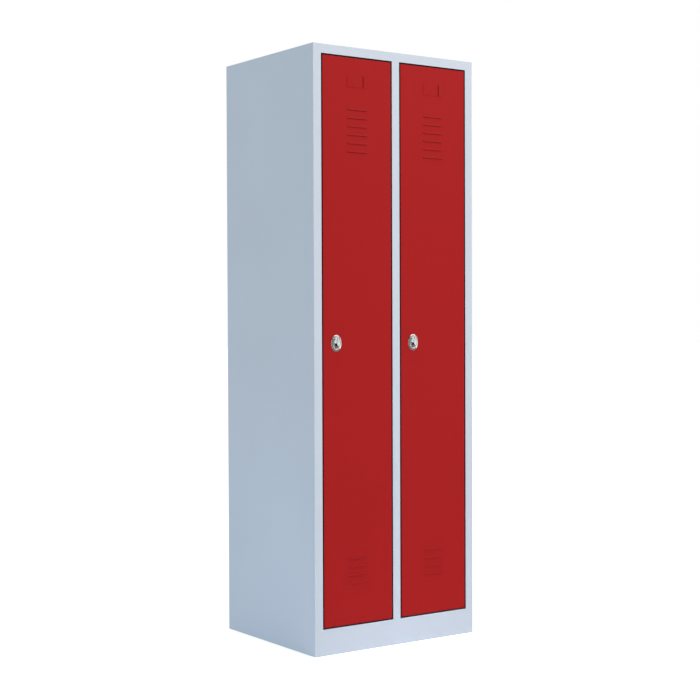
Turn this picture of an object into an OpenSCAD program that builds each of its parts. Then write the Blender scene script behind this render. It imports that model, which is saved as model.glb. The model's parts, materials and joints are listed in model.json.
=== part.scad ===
// Two-door steel clothes locker. Millimetres, +Z up, doors facing -Y.
// X runs along the front, and depths are measured back from the front face of the frame.

/* [Cabinet] */
// Overall width
cab_w = 600; // [560:5:700]
// Depth from the front frame to the back, without the lock handles
cab_d = 500; // [400:10:600]
// Overall height
cab_h = 1800; // [1600:10:2000]
// Thickness of the cabinet's sheet steel
sheet = 0.8; // [0.6:0.1:1.2]
// Inside radius of every bend
bend_r = 0.8; // [0.5:0.1:1.2]
// Width of the folds hidden at the back and underneath
fold_w = 15; // [12:1:20]

/* [Front frame] */
// Face width of each side stile
stile_w = 29; // [26:0.5:34]
// Face width of the centre post
post_w = 29; // [26:0.5:34]
// Face height of the header above the doors
header_h = 28; // [24:1:50]
// Face height of the plinth below the doors
plinth_h = 79; // [60:1:120]
// Depth at which the door stops stand
stop_d = 24; // [24:0.5:30]
// Width of the door stop lips
stop_w = 10; // [9:0.5:12]

/* [Doors] */
// Gap between a door and the frame, on all four sides
door_gap = 3; // [2.5:0.1:3.5]
// Depth of a door's folded edge
door_d = 20; // [18:0.5:20]
// Width of the inner lips along a door's long edges
door_lip = 14; // [12:0.5:16]
// Thickness of the doors' sheet steel
door_sheet = 0.8; // [0.6:0.1:1.2]
// Face width of the stiffener behind each door
stiff_w = 40; // [30:1:50]
// Depth of the stiffener
stiff_d = 14; // [10:0.5:16]

/* [Louvres] */
// Length of a louvre
louvre_w = 75; // [60:1:90]
// Height of a louvre's hood above its lip
louvre_h = 6; // [5:0.5:8]
// How far a louvre stands out of the door
louvre_out = 3; // [2:0.5:4]
// Distance from one louvre to the next
louvre_pitch = 25; // [18:1:30]
// Number of louvres in the top field
louvres_top = 6; // [3:1:8]
// Number of louvres in the bottom field
louvres_low = 4; // [2:1:6]
// Distance from the door's top edge to the first louvre
louvre_drop = 155; // [130:1:180]
// Distance from the door's bottom edge to the lowest louvre
louvre_rise = 120; // [90:1:150]

/* [Label holder] */
// Width over the two pressed tabs that hold a card
label_w = 74; // [60:1:90]
// Height of the tabs
label_h = 36; // [28:1:40]
// Width between the tabs
window_w = 44; // [34:1:50]
// How far the tabs stand out of the door
label_out = 1.8; // [1.4:0.1:2.4]
// Distance from the door's top edge to the middle of the label
label_drop = 70; // [50:1:80]

/* [Hinges] */
// Number of hinges on each door
hinges = 3; // [2:1:4]
// Radius of a hinge pin
pin_r = 3; // [2.5:0.1:3.2]
// Distance of the hinge axis from the door's edge
hinge_in = 7; // [6.5:0.1:7.5]
// Depth of the hinge axis behind the front face
hinge_d = 6; // [5.5:0.1:6.2]
// Distance from the door's end to its outermost hinge
hinge_end = 150; // [110:1:160]
// Thickness of a hinge lug on the frame
lug_t = 4; // [3:0.5:5]
// Thickness of a hinge ear on the door
ear_t = 3; // [2:0.5:4]

/* [Lock] */
// Distance of the lock axis from the door's free edge
lock_in = 47; // [44:1:54]
// Height of the lock axis above the door's bottom edge
lock_rise = 843.5; // [800:0.5:900]
// Width of the rosette
rosette_w = 38; // [36:1:40]
// Height of the rosette
rosette_h = 50; // [46:1:54]
// Thickness of the rosette
rosette_t = 2.5; // [2:0.5:3]
// How far the lock axis lies above the rosette's centre
rosette_low = 3; // [2:0.5:4]
// Length of the handle's grip
grip_h = 38; // [38:1:42]
// Width of the grip at its middle
grip_w = 22; // [20:1:23]
// Width of the grip at its ends
grip_end = 12; // [11:0.5:13]
// How far the grip stands out of the front face
grip_out = 12; // [11.5:0.5:14]
// Radius of the padlock hole in the grip
eye_r = 3; // [2.5:0.1:3]
// Radius of the padlock hole in the fixed lug
lug_eye_r = 2.4; // [2:0.1:2.5]
// Radius of the spindle
spindle_r = 5; // [4:0.5:5.5]
// Radius of the threaded boss through the door
boss_r = 8; // [7.5:0.5:9]
// Width across the flats of the boss nut
boss_nut = 22; // [20:1:24]
// Overlap of the cam behind the door stop
cam_bite = 8; // [6:0.5:9]
// Width of the cam
cam_w = 18; // [16:1:22]
// Thickness of the cam
cam_t = 2.5; // [2:0.5:3]

/* [Fittings] */
// Distance from the roof to the top of the hat shelf
shelf_drop = 300; // [250:5:350]
// Height of the shelf's folded edges
shelf_edge = 20; // [16:1:25]
// Distance from the shelf to the centre of the coat rail
rail_drop = 40; // [34:1:50]
// Outside radius of the coat rail
rail_r = 9; // [8:0.5:10]
// Wall of the coat rail
rail_wall = 1.2; // [1:0.1:1.5]
// Width of a sliding hook
hook_w = 12; // [10:1:14]
// Radius of the hook's bow, to the middle of the wire
hook_bow = 11; // [10:0.5:12]
// Radius of the hook's wire
hook_wire = 2.5; // [2:0.25:3]
// Height of the towel rail above the door's bottom edge
towel_rise = 1100; // [1060:5:1200]
// Length of the towel rail between the outsides of its brackets
towel_w = 176; // [150:1:190]
// Radius of the towel rail
towel_r = 3; // [2.5:0.5:4]
// Depth of the towel rail's axis behind the front face
towel_d = 42; // [36:1:50]
// Radius of a rubber buffer
buffer_r = 4.3; // [3.5:0.1:4.4]
// Number of rivets along each side of the back
rivets = 6; // [4:1:9]
// Radius of a wall-fixing hole in the back
wall_hole_r = 4; // [3:0.5:5]
// Distance of the wall-fixing holes below the roof
wall_drop = 60; // [50:1:90]

/* [Hidden] */
$fn = 48;
// Gap left where a part only rests or hangs
seat_gap = 0.3;
// Radial clearance of a turning fit
run_fit = 0.05;
// Radial clearance of a fixed pin, rivet or boss
fixed_fit = 0.02;
// How far the cutting shapes reach past what they cut
over = 1;
half_w = cab_w / 2;
rivet_proud = 1;
// Depth 0 in the part's frame: the box over handles and rivets is centred on the origin
front_y = (grip_out - cab_d - rivet_proud) / 2;
bend_out = bend_r + sheet;
// Opening of one door, and the left edges of both
open_w = (cab_w - 2 * stile_w - post_w) / 2;
left_x = -half_w + stile_w;
right_x = post_w / 2;
open_low = plinth_h;
open_top = cab_h - header_h;
door_w = open_w - 2 * door_gap;
door_low = open_low + door_gap;
door_h = open_top - open_low - 2 * door_gap;
door_top = door_low + door_h;
lock_z = door_low + lock_rise;
back_d = cab_d - sheet;
shelf_z = cab_h - shelf_drop;
shelf_front = 60;
shelf_fold = 10;
rivet_tail = 1.4;
shelf_back = back_d - sheet - rivet_tail - seat_gap;
// Hinge heights, as a list
hinge_zs = [for (i = [0 : hinges - 1])
    door_low + hinge_end + i * (door_h - 2 * hinge_end) / (hinges - 1)];
lug_neck = 2.5;
lug_round = pin_r + 1.5;
lug_foot = 9;
lug_foot_d = 4;
notch_gap = 1.5;
notch = lug_t + 2 * notch_gap;
ear_back = 6;
ear_side = 6;
ear_gap = 0.3;
pin_head = 1.5;
// Louvres: radius of the pressed bead, and the run between its round ends
bead_r = (pow(louvre_h, 2) + pow(louvre_out, 2)) / (2 * louvre_out);
bead_run = louvre_w - 2 * louvre_h;
top_field = door_top - louvre_drop - (louvres_top - 1) * louvre_pitch;
low_field = door_low + louvre_rise;
stiff_end = 30;
stiff_brim = 12;
stiff_low = low_field + (louvres_low - 1) * louvre_pitch + louvre_h + stiff_end;
stiff_top = top_field - stiff_end;
// Lock stack, by depth
grip_back = rosette_t + seat_gap;
boss_len = 14;
nut_t = 4;
clip_ring_r = 8;
clip_ring_t = 1.2;
cam_gap = 2.2;
cam_d = stop_d + sheet + cam_gap;
spindle_sq = 7;
screw_r = 2.5;
screw_len = 9;
washer_r = 7;
washer_t = 1.2;
screw_head_r = 4.4;
screw_head_t = 3.5;
cam_reach = lock_in + door_gap - stop_w + cam_bite;
// The grip is widest along a short stretch at its middle, and tapers from there at grip_slope
grip_flat = 3;
grip_bevel = 2;
grip_slope = (grip_w - grip_end) / (grip_h - 2 * grip_flat);
// Nearest that the fixed lug may come to the axis, sideways and upwards, in both positions
lug_near = (grip_w / 2 + grip_flat * grip_slope) / (1 + grip_slope) + 0.5;
lug_wall = 1.4;
eye_lug_t = 3;
eye_down = lug_near + lug_wall + lug_eye_r;
eye_d = -6.8;
// Coat rail and hooks
rail_z = shelf_z - rail_drop;
rail_mid = cab_d / 2;
bay_w = half_w - 1.5 * sheet;
hook_ring = 2;
hook_stem = 26;
hook_tip = 3.6;
hook_end = 6;
hook_step = bay_w / 4;
bracket_t = 2;
bracket_w = 26;
bracket_foot = 16;
bracket_below = 5;
rail_screw_r = 2;
rail_screw_len = 8;
rail_screw_play = 0.1;
rail_screw_head = 3.6;
rail_screw_head_t = 2;
rail_nut_r = 3.8;
rail_nut_t = 3.2;
bracket_off = 4;
clip_w = 24;
clip_h = 14;
clip_t = 1.5;
clip_in = 40;
buffer_stem = 2.5;
buffer_tail = 1.5;
buffer_zs = [for (f = [0.06, 0.33, 0.67, 0.94]) door_low + f * door_h];
rivet_r = 2;
rivet_head = 3.8;
rivet_tail_r = 3;
rivet_end = 30;
towel_foot = 14;
towel_plate = 2;
towel_end = 3;
// How far a towel bracket reaches past the rail's axis, behind, above and below
towel_reach = 8;
// Bead that a label card stands on: how far it stands out, and the gap at its ends
ledge_out = 0.2;
ledge_end = 3;
buffer_brim = 0.8;
lug_back = 1.5;
pin_brim = 1.5;

// Colours of the finishes
grey_paint = [0.80, 0.83, 0.87];
red_paint = [0.67, 0.14, 0.14];
chrome = [0.85, 0.86, 0.88];
zinc = [0.68, 0.70, 0.72];
black_rubber = [0.08, 0.08, 0.08];

// Left walls of the two compartments
bays = [-half_w + sheet, sheet / 2];

// An outline drawn in [x, depth], standing from height z0 to z1
module upright(z0, z1) {
    translate([0, front_y, z0]) linear_extrude(z1 - z0) children();
}

// An outline drawn in [depth, z], running from x0 to x1
module along_x(x0, x1) {
    translate([x0, front_y, 0]) rotate([90, 0, 90]) linear_extrude(x1 - x0) children();
}

// An outline drawn in [x, z], running back from depth d0 to d1
module inward(d0, d1) {
    translate([0, front_y + d1, 0]) rotate([90, 0, 0]) linear_extrude(d1 - d0) children();
}

// A box from one [x, depth, z] corner to another
module block(a, b) {
    translate([a[0], front_y + a[1], a[2]]) cube(b - a);
}

// A round bar along X, centred on x, depth d and height z
module bar_x(x, d, z, r, length) {
    translate([x, front_y + d, z]) rotate([0, 90, 0]) cylinder(r = r, h = length, center = true);
}

// A rectangle between two corners
module rect(a, b) {
    translate([min(a[0], b[0]), min(a[1], b[1])]) square([abs(b[0] - a[0]), abs(b[1] - a[1])]);
}

function turn(a, b) = (b - a) / norm(b - a);

// A strip of sheet of thickness t, folded at right angles along the centre line path
module folded(path, t) {
    r = bend_r + t / 2;
    last = len(path) - 1;
    for (i = [0 : last - 1]) {
        u = turn(path[i], path[i + 1]);
        side = [u[1], -u[0]] * t / 2;
        a = path[i] + u * (i == 0 ? 0 : r);
        b = path[i + 1] - u * (i == last - 1 ? 0 : r);
        rect(a - side, b + side);
    }
    for (i = [1 : last - 1]) {
        u = turn(path[i - 1], path[i]);
        v = turn(path[i], path[i + 1]);
        c = path[i] - u * r + v * r;
        intersection() {
            translate(c) difference() {
                circle(r + t / 2);
                circle(r - t / 2);
            }
            rect(c, c + (u - v) * (r + t));
        }
    }
}

// What rounding a bent edge takes away: the corner is at the origin, the metal at +x and +y
module edge_round(r) {
    difference() {
        translate([-over, -over]) square(r + over);
        translate([r, r]) circle(r);
    }
}

// From the left edge of an opening: the door's edge, its middle, and the hinge and lock axes
function door_x(x) = x + door_gap;
function door_mid(x) = door_x(x) + door_w / 2;
function hinge_x(x) = x + open_w - door_gap - hinge_in;
function lock_x(x) = door_x(x) + lock_in;

// Cabinet

function rivet_z(i) = rivet_end + i * (cab_h - 2 * rivet_end) / (rivets - 1);

module rivet_hole(x, z) {
    translate([x, 0, z]) inward(back_d - sheet - over, cab_d + over) circle(rivet_r + fixed_fit);
}

// Left side: the panel, its front stile with the door stop, and the folds behind and below
module side_panel(has_buffers) {
    h = sheet / 2;
    x = -half_w;
    face = [[x + fold_w, cab_d - h], [x + h, cab_d - h], [x + h, h],
        [left_x - h, h], [left_x - h, stop_d + h], [left_x + stop_w, stop_d + h]];
    color(grey_paint) difference() {
        union() {
            upright(0, cab_h) folded(face, sheet);
            block([x + h, bend_out, 0], [x + fold_w, back_d - sheet, sheet]);
        }
        // the header's and the plinth's stops pass the stile's ends
        for (z = [[-over, open_low + stop_w], [open_top - stop_w, cab_h + over]])
            block([left_x - bend_out, stop_d, z[0]], [left_x + stop_w + over, stop_d + sheet + over, z[1]]);
        // the roof's plate lies inside the stile's top
        block([x + bend_out, sheet, cab_h - sheet], [left_x + over, stop_d + 2 * sheet, cab_h + over]);
        along_x(x - over, left_x + over) translate([0, cab_h]) mirror([0, 1]) edge_round(bend_out);
        inward(-over, cab_d + over) translate([x, 0]) edge_round(bend_out);
        for (i = [0 : rivets - 1]) rivet_hole(x + fold_w / 2, rivet_z(i));
        if (has_buffers) buffer_holes(left_x);
    }
}

// Roof with the header folded down at its front and short folds down at the sides and back
module roof_panel() {
    h = sheet / 2;
    fold_d = back_d - sheet;
    section = [[fold_d - h, cab_h - fold_w], [fold_d - h, cab_h - h], [h, cab_h - h],
        [h, open_top + h], [stop_d + h, open_top + h], [stop_d + h, open_top - stop_w]];
    color(grey_paint) difference() {
        union() {
            along_x(left_x, -left_x) folded(section, sheet);
            for (s = [0, 1]) mirror([s, 0, 0]) {
                block([-half_w + sheet, bend_out, cab_h - sheet], [left_x, fold_d - bend_out, cab_h]);
                block([-half_w + bend_out, sheet, cab_h - sheet], [left_x, bend_out, cab_h]);
                block([-half_w + sheet, stop_d + 2 * sheet, cab_h - fold_w],
                    [-half_w + 2 * sheet, fold_d - bend_out, cab_h - h]);
            }
        }
        for (s = [0, 1]) mirror([s, 0, 0]) inward(-over, cab_d)
            translate([-half_w + sheet, cab_h]) mirror([0, 1]) edge_round(bend_out);
    }
}

module back_panel() {
    color(grey_paint) difference() {
        block([-half_w + bend_out, back_d - sheet, 0], [half_w - bend_out, back_d, cab_h]);
        for (s = [-1, 1], i = [0 : rivets - 1]) rivet_hole(s * (half_w - fold_w / 2), rivet_z(i));
        for (s = [-1, 1]) translate([s * half_w / 2, 0, cab_h - wall_drop])
            inward(back_d - sheet - over, back_d + over) circle(wall_hole_r);
    }
}

// Floor tray: folded up behind the plinth's stop, and down at the sides and back
module floor_panel() {
    h = sheet / 2;
    d0 = stop_d + sheet;
    d1 = back_d - sheet;
    section = [[d0 + h, open_low + stop_w - over], [d0 + h, plinth_h - h],
        [d1 - h, plinth_h - h], [d1 - h, plinth_h - fold_w]];
    color(grey_paint) union() {
        along_x(-half_w + sheet, half_w - sheet) folded(section, sheet);
        for (s = [0, 1]) mirror([s, 0, 0])
            block([-half_w + sheet, d0 + bend_out, plinth_h - fold_w],
                [-half_w + 2 * sheet, d1 - bend_out, plinth_h - h]);
    }
}

// Plates welded into the hollow stiles at the floor's level
module stile_plates() {
    color(grey_paint) for (s = [0, 1]) mirror([s, 0, 0])
        block([-half_w + sheet, bend_out, plinth_h - sheet],
            [left_x - sheet, stop_d + sheet - bend_out, plinth_h]);
}

// Plinth face with its stop above and a fold to stand on below
module plinth_panel() {
    h = sheet / 2;
    section = [[fold_w, h], [h, h], [h, open_low - h], [stop_d + h, open_low - h],
        [stop_d + h, open_low + stop_w]];
    color(grey_paint) along_x(left_x, -left_x) folded(section, sheet);
}

// Centre post: a hat section whose brims are the door stops
module centre_post() {
    h = sheet / 2;
    x = post_w / 2;
    hat = [[-x - stop_w, stop_d + h], [-x + h, stop_d + h], [-x + h, h],
        [x - h, h], [x - h, stop_d + h], [x + stop_w, stop_d + h]];
    color(grey_paint) difference() {
        upright(open_low, open_top) folded(hat, sheet);
        for (z = [[open_low - over, open_low + stop_w], [open_top - stop_w, open_top + over]])
            block([-x - stop_w - over, stop_d, z[0]], [x + stop_w + over, stop_d + sheet + over, z[1]]);
        buffer_holes(right_x);
    }
}

// Sheet between the two compartments, folded left at the post and at the back
module partition() {
    h = sheet / 2;
    d0 = stop_d + sheet;
    d1 = back_d - sheet;
    brim = post_w / 2 + stop_w - 2;
    section = [[-brim, d0 + h], [0, d0 + h], [0, d1 - h], [-fold_w, d1 - h]];
    color(grey_paint) difference() {
        upright(plinth_h, cab_h - sheet) folded(section, sheet);
        // room for the floor's front fold and the roof's rear fold
        block([-brim - over, d0 - over, plinth_h - over], [over, d0 + sheet, open_low + stop_w]);
        block([-fold_w - over, d1 - sheet, cab_h - fold_w], [over, d1 + over, cab_h]);
    }
}

// Hat shelf of the compartment whose left wall is at x: a tray with its edges folded down
module hat_shelf(x) {
    h = sheet / 2;
    low = shelf_z - shelf_edge;
    section = [[shelf_front + shelf_fold, low + h], [shelf_front + h, low + h],
        [shelf_front + h, shelf_z - h], [shelf_back - h, shelf_z - h], [shelf_back - h, low]];
    color(grey_paint) difference() {
        union() {
            along_x(x, x + bay_w) folded(section, sheet);
            for (e = [x, x + bay_w - sheet])
                block([e, shelf_front + bend_out, low], [e + sheet, shelf_back - bend_out, shelf_z - h]);
        }
        for (p = screw_spots(x)) rail_screw_hole(p);
    }
}

// Angles welded to the walls, which the shelf's side edges rest on
module shelf_clips(x) {
    z = shelf_z - shelf_edge;
    color(grey_paint) for (d = [shelf_front + clip_in, shelf_back - clip_in - clip_w], s = [0, 1])
        translate([x + s * bay_w, 0, 0]) mirror([s, 0, 0]) {
            block([0, d, z - clip_h], [clip_t, d + clip_w, z]);
            block([clip_t, d, z - clip_t], [clip_h, d + clip_w, z]);
        }
}

// Coat rail and hooks

// Middle of a bracket's foot, from the wall, and the [x, depth] of a compartment's four screws
foot_mid = bracket_off + bracket_t + bracket_foot / 2;
function screw_spots(x) = [for (s = [x + foot_mid, x + bay_w - foot_mid], k = [-1, 1])
    [s, rail_mid + k * bracket_w / 4]];

module rail_screw_hole(p) {
    translate([p[0], front_y + p[1], shelf_z - 2 * shelf_edge])
        cylinder(r = rail_screw_r + rail_screw_play, h = 3 * shelf_edge);
}

module coat_rail(x) {
    mid = x + bay_w / 2;
    length = bay_w - bracket_off;
    color(chrome) difference() {
        bar_x(mid, rail_mid, rail_z, rail_r, length);
        bar_x(mid, rail_mid, rail_z, rail_r - rail_wall, length + 2 * over);
    }
}

// Angle brackets under the shelf, which the rail's ends pass through
module rail_brackets(x) {
    top = shelf_z - sheet;
    low = rail_z - rail_r - bracket_below;
    w = bracket_w / 2;
    color(zinc) difference() {
        for (s = [0, 1]) translate([x + s * bay_w, 0, 0]) mirror([s, 0, 0]) {
            block([bracket_off, rail_mid - w, low], [bracket_off + bracket_t, rail_mid + w, top]);
            block([bracket_off + over, rail_mid - w, top - bracket_t],
                [bracket_off + bracket_t + bracket_foot, rail_mid + w, top]);
        }
        bar_x(x + bay_w / 2, rail_mid, rail_z, rail_r + fixed_fit, bay_w);
        for (p = screw_spots(x)) rail_screw_hole(p);
    }
}

module rail_screws() {
    color(zinc) for (x = bays, p = screw_spots(x)) translate([p[0], front_y + p[1], shelf_z]) {
        cylinder(r = rail_screw_head, h = rail_screw_head_t);
        translate([0, 0, -rail_screw_len]) cylinder(r = rail_screw_r, h = rail_screw_len);
    }
}

module rail_nuts() {
    color(zinc) for (x = bays, p = screw_spots(x))
        translate([p[0], front_y + p[1], shelf_z - sheet - bracket_t - rail_nut_t]) difference() {
            cylinder(r = rail_nut_r, h = rail_nut_t, $fn = 6);
            translate([0, 0, -over]) cylinder(r = rail_screw_r + fixed_fit, h = rail_nut_t + 2 * over);
        }
}

// Hook i of 3 in the compartment at x: a ring on the rail, a stem and a bow that opens forwards
module hook(x, i) {
    ring = rail_r + seat_gap;
    drop = ring + hook_ring;
    low = -drop - hook_stem;
    color(zinc) translate([x + i * hook_step, front_y + rail_mid, rail_z]) union() {
        rotate([0, 90, 0]) difference() {
            cylinder(r = drop, h = hook_w, center = true);
            cylinder(r = ring, h = hook_w + 2 * over, center = true);
        }
        translate([0, 0, low]) cylinder(r = hook_wire, h = hook_stem + hook_ring / 2);
        translate([0, -hook_bow, low]) rotate([0, 90, 0]) rotate([0, 0, -90])
            rotate_extrude(angle = 180) translate([hook_bow, 0]) circle(hook_wire);
        translate([0, -2 * hook_bow, low]) {
            cylinder(r = hook_wire, h = hook_end);
            translate([0, 0, hook_end]) sphere(hook_tip);
        }
    }
}

// Hinges

// Straight lugs on the door stop, each with the pin's bore at its tip
module hinge_lugs(x) {
    a = hinge_x(x);
    color(grey_paint) for (z = hinge_zs) upright(z - lug_t / 2, z + lug_t / 2) difference() {
        union() {
            translate([a, hinge_d]) circle(lug_round);
            rect([a - lug_round, hinge_d], [a + lug_neck, stop_d]);
            rect([a - lug_round, stop_d - lug_foot_d], [a + lug_foot, stop_d]);
        }
        translate([a, hinge_d]) circle(pin_r + run_fit);
    }
}

// Pairs of ears in the corner of the door, above and below each lug
module hinge_ears(x) {
    a = hinge_x(x);
    t = door_sheet;
    edge = door_x(x) + door_w - t;
    near = lug_t / 2 + ear_gap;
    color(red_paint) for (z = hinge_zs, low = [near, -near - ear_t])
        upright(z + low, z + low + ear_t) difference() {
            polygon([[a - ear_side, t], [edge - bend_r, t], [edge, t + bend_r],
                [edge, hinge_d + ear_back], [a - ear_side, hinge_d + ear_back]]);
            translate([a, hinge_d]) circle(pin_r + fixed_fit);
        }
}

module hinge_pins(x) {
    reach = lug_t / 2 + ear_gap + ear_t;
    color(zinc) for (z = hinge_zs) translate([hinge_x(x), front_y + hinge_d, z]) {
        translate([0, 0, -reach - over]) cylinder(r = pin_r, h = 2 * reach + over);
        translate([0, 0, reach]) cylinder(r = pin_r + pin_brim, h = pin_head);
    }
}

// Rubber buffers pushed through the stop on the lock side
module buffers(x) {
    color(black_rubber) for (z = buffer_zs) translate([x + stop_w / 2, 0, z]) {
        inward(door_d + seat_gap, stop_d) circle(buffer_r);
        inward(stop_d, stop_d + sheet) circle(buffer_stem);
        inward(stop_d + sheet, stop_d + sheet + buffer_tail) circle(buffer_stem + buffer_brim);
    }
}

module buffer_holes(x) {
    for (z = buffer_zs) translate([x + stop_w / 2, 0, z])
        inward(stop_d - over, stop_d + sheet + over) circle(buffer_stem + fixed_fit);
}

// Doors

// Upper half of a pressed bead with round ends, centred on the middle of the louvre's lip
module bead(r) {
    intersection() {
        translate([0, front_y + bead_r - louvre_out, 0]) {
            rotate([0, 90, 0]) cylinder(r = r, h = bead_run, center = true);
            for (s = [-1, 1]) translate([s * bead_run / 2, 0, 0]) sphere(r);
        }
        block([-louvre_w, -louvre_out - over, 0], [louvre_w, door_sheet, louvre_h + over]);
    }
}

function louvre_zs() = concat([for (i = [0 : louvres_top - 1]) top_field + i * louvre_pitch],
    [for (i = [0 : louvres_low - 1]) low_field + i * louvre_pitch]);

// Right-hand tab of the label holder, open towards the middle; cut is taken off its outside
module label_tab(cut) {
    out = label_out - cut;
    w = label_w / 2 - cut * sqrt(2);
    h = label_h / 2 - cut * sqrt(2);
    t = door_sheet;
    intersection() {
        upright(-label_h, label_h)
            polygon([[window_w / 2, -out], [w - out, -out], [w + t, t], [window_w / 2, t]]);
        along_x(0, label_w)
            polygon([[-out, out - h], [-out, h - out], [t, h + t], [t, -h - t]]);
    }
}

// Both tabs of the label holder
module label_tabs(cut) {
    for (s = [0, 1]) mirror([s, 0, 0]) label_tab(cut);
}

module door_panel(x) {
    h = door_sheet / 2;
    x0 = door_x(x);
    x1 = x0 + door_w;
    mid = door_mid(x);
    bend = bend_r + door_sheet;
    label_z = door_top - label_drop;
    tray = [[x0 + door_lip, door_d - h], [x0 + h, door_d - h], [x0 + h, h],
        [x1 - h, h], [x1 - h, door_d - h], [x1 - door_lip, door_d - h]];
    color(red_paint) difference() {
        union() {
            upright(door_low, door_top) folded(tray, door_sheet);
            for (z = [door_low, door_top - door_sheet])
                block([x0 + door_sheet, h, z], [x1 - door_sheet, door_d - door_sheet, z + door_sheet]);
            for (z = louvre_zs()) translate([mid, 0, z]) bead(bead_r);
            translate([mid, 0, label_z]) label_tabs(0);
            bar_x(mid, 0, label_z - label_h / 2 + door_sheet, door_sheet + ledge_out,
                window_w - 2 * ledge_end);
        }
        for (z = louvre_zs()) translate([mid, 0, z]) bead(bead_r - door_sheet);
        translate([mid, 0, label_z]) label_tabs(door_sheet);
        // rounded top and bottom edges
        along_x(x0 - over, x1 + over) {
            translate([0, door_low]) edge_round(bend);
            translate([0, door_top]) mirror([0, 1]) edge_round(bend);
        }
        // room for the hinge lugs
        for (z = hinge_zs) translate([0, 0, z])
            block([x1 - door_lip - over, door_sheet, -notch / 2], [x1 + over, door_d + over, notch / 2]);
        translate([lock_x(x), 0, lock_z]) inward(-over, door_sheet + over) circle(boss_r + fixed_fit);
    }
}

// Hat-section stiffener welded behind the door, between the louvre fields
module door_stiffener(x) {
    h = door_sheet / 2;
    mid = door_mid(x);
    w = stiff_w / 2;
    d0 = door_sheet + h;
    d1 = door_sheet + stiff_d - h;
    hat = [[mid - w - stiff_brim, d0], [mid - w, d0], [mid - w, d1],
        [mid + w, d1], [mid + w, d0], [mid + w + stiff_brim, d0]];
    color(red_paint) upright(stiff_low, stiff_top) folded(hat, door_sheet);
}

module towel_rail(x) {
    color(chrome) bar_x(door_mid(x), towel_d, door_low + towel_rise, towel_r, towel_w + 2 * towel_end);
}

// Angle brackets on the door, which the towel rail's ends pass through
module towel_brackets(x) {
    z = door_low + towel_rise;
    t = towel_plate;
    r = towel_reach;
    w = towel_w / 2;
    color(red_paint) translate([door_mid(x), 0, 0]) difference() {
        for (s = [0, 1]) mirror([s, 0, 0]) {
            block([w - t, door_sheet, z - r], [w, towel_d + r, z + r]);
            block([w - towel_foot, door_sheet, z - r], [w - t / 2, door_sheet + t, z + r]);
        }
        bar_x(0, towel_d, z, towel_r + fixed_fit, towel_w + 2 * over);
    }
}

// Lock

// Rosette outline: straight sides and round ends
module oval(w, h) {
    for (s = [-1, 1]) translate([0, s * (h - w) / 2]) circle(w / 2);
    square([w, h - w], center = true);
}

// Rosette, its threaded boss through the door, and the fixed padlock lug
module lock_rosette(x) {
    rim = 1;
    lug_out = lug_near + 2 * (lug_wall + lug_eye_r);
    color(chrome) translate([lock_x(x), 0, lock_z]) difference() {
        union() {
            translate([0, 0, -rosette_low]) {
                inward(rim - rosette_t, 0) oval(rosette_w, rosette_h);
                inward(-rosette_t, -rim) oval(rosette_w - 2 * rim, rosette_h - 2 * rim);
            }
            inward(-over, boss_len) circle(boss_r);
            inward(lug_back - grip_out, -over) rect([-lug_out, lug_near], [-lug_near, lug_near + eye_lug_t]);
        }
        inward(-grip_out, boss_len + over) circle(spindle_r + run_fit);
        translate([-eye_down, front_y + eye_d, 0]) cylinder(r = lug_eye_r, h = lug_near + eye_lug_t + over);
    }
}

module lock_nut(x) {
    color(zinc) translate([lock_x(x), 0, lock_z]) inward(door_sheet, door_sheet + nut_t) difference() {
        circle(boss_nut / sqrt(3), $fn = 6);
        circle(boss_r + fixed_fit);
    }
}

// Outline of the grip: a long hexagon, widest at its middle
module grip_outline(cut) {
    w = grip_w / 2 - cut;
    e = grip_end / 2 - cut;
    l = grip_h / 2 - cut;
    f = grip_flat;
    polygon([[w, -f], [w, f], [e, l], [-e, l], [-w, f], [-w, -f], [-e, -l], [e, -l]]);
}

// Turning handle with its spindle and the square that drives the cam
module lock_handle(x) {
    cam_back = cam_d + cam_t;
    color(chrome) translate([lock_x(x), 0, lock_z]) difference() {
        union() {
            hull() {
                inward(-grip_out / 2, -grip_back) grip_outline(0);
                inward(-grip_out, -grip_out + over) grip_outline(grip_bevel);
            }
            inward(-grip_back - over, cam_d) circle(spindle_r);
            inward(cam_d - over, cam_back) square(spindle_sq, center = true);
        }
        bar_x(0, eye_d, -eye_down, eye_r, grip_w + 2 * over);
        inward(cam_back - screw_len, cam_back + over) circle(screw_r + fixed_fit);
    }
}

// Ring that holds the spindle behind the boss
module spindle_clip(x) {
    d = boss_len + seat_gap;
    color(zinc) translate([lock_x(x), 0, lock_z]) inward(d, d + clip_ring_t) difference() {
        circle(clip_ring_r);
        circle(spindle_r + fixed_fit);
    }
}

// Cam on the spindle's square, hanging down while the door is free to open
module lock_cam(x) {
    sq = spindle_sq / 2 + run_fit;
    color(zinc) translate([lock_x(x), 0, lock_z]) inward(cam_d, cam_d + cam_t) difference() {
        union() {
            circle(cam_w / 2);
            rect([-cam_w / 2, -cam_reach], [cam_w / 2, 0]);
        }
        rect([-sq, -sq], [sq, sq]);
    }
}

module cam_washer(x) {
    d = cam_d + cam_t;
    color(zinc) translate([lock_x(x), 0, lock_z]) inward(d, d + washer_t) difference() {
        circle(washer_r);
        circle(screw_r + run_fit);
    }
}

module cam_screw(x) {
    d = cam_d + cam_t + washer_t;
    color(zinc) translate([lock_x(x), 0, lock_z]) {
        inward(d, d + screw_head_t) circle(screw_head_r, $fn = 6);
        inward(cam_d + cam_t - screw_len + over, d + over) circle(screw_r);
    }
}

// Rivets through the back and the side panels' rear folds
module back_rivets() {
    color(zinc) for (s = [-1, 1], i = [0 : rivets - 1])
        translate([s * (half_w - fold_w / 2), 0, rivet_z(i)]) {
            inward(back_d - sheet, cab_d) circle(rivet_r);
            inward(cab_d, cab_d + rivet_proud) circle(rivet_head);
            inward(back_d - sheet - rivet_tail, back_d - sheet) circle(rivet_tail_r);
        }
}

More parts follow.
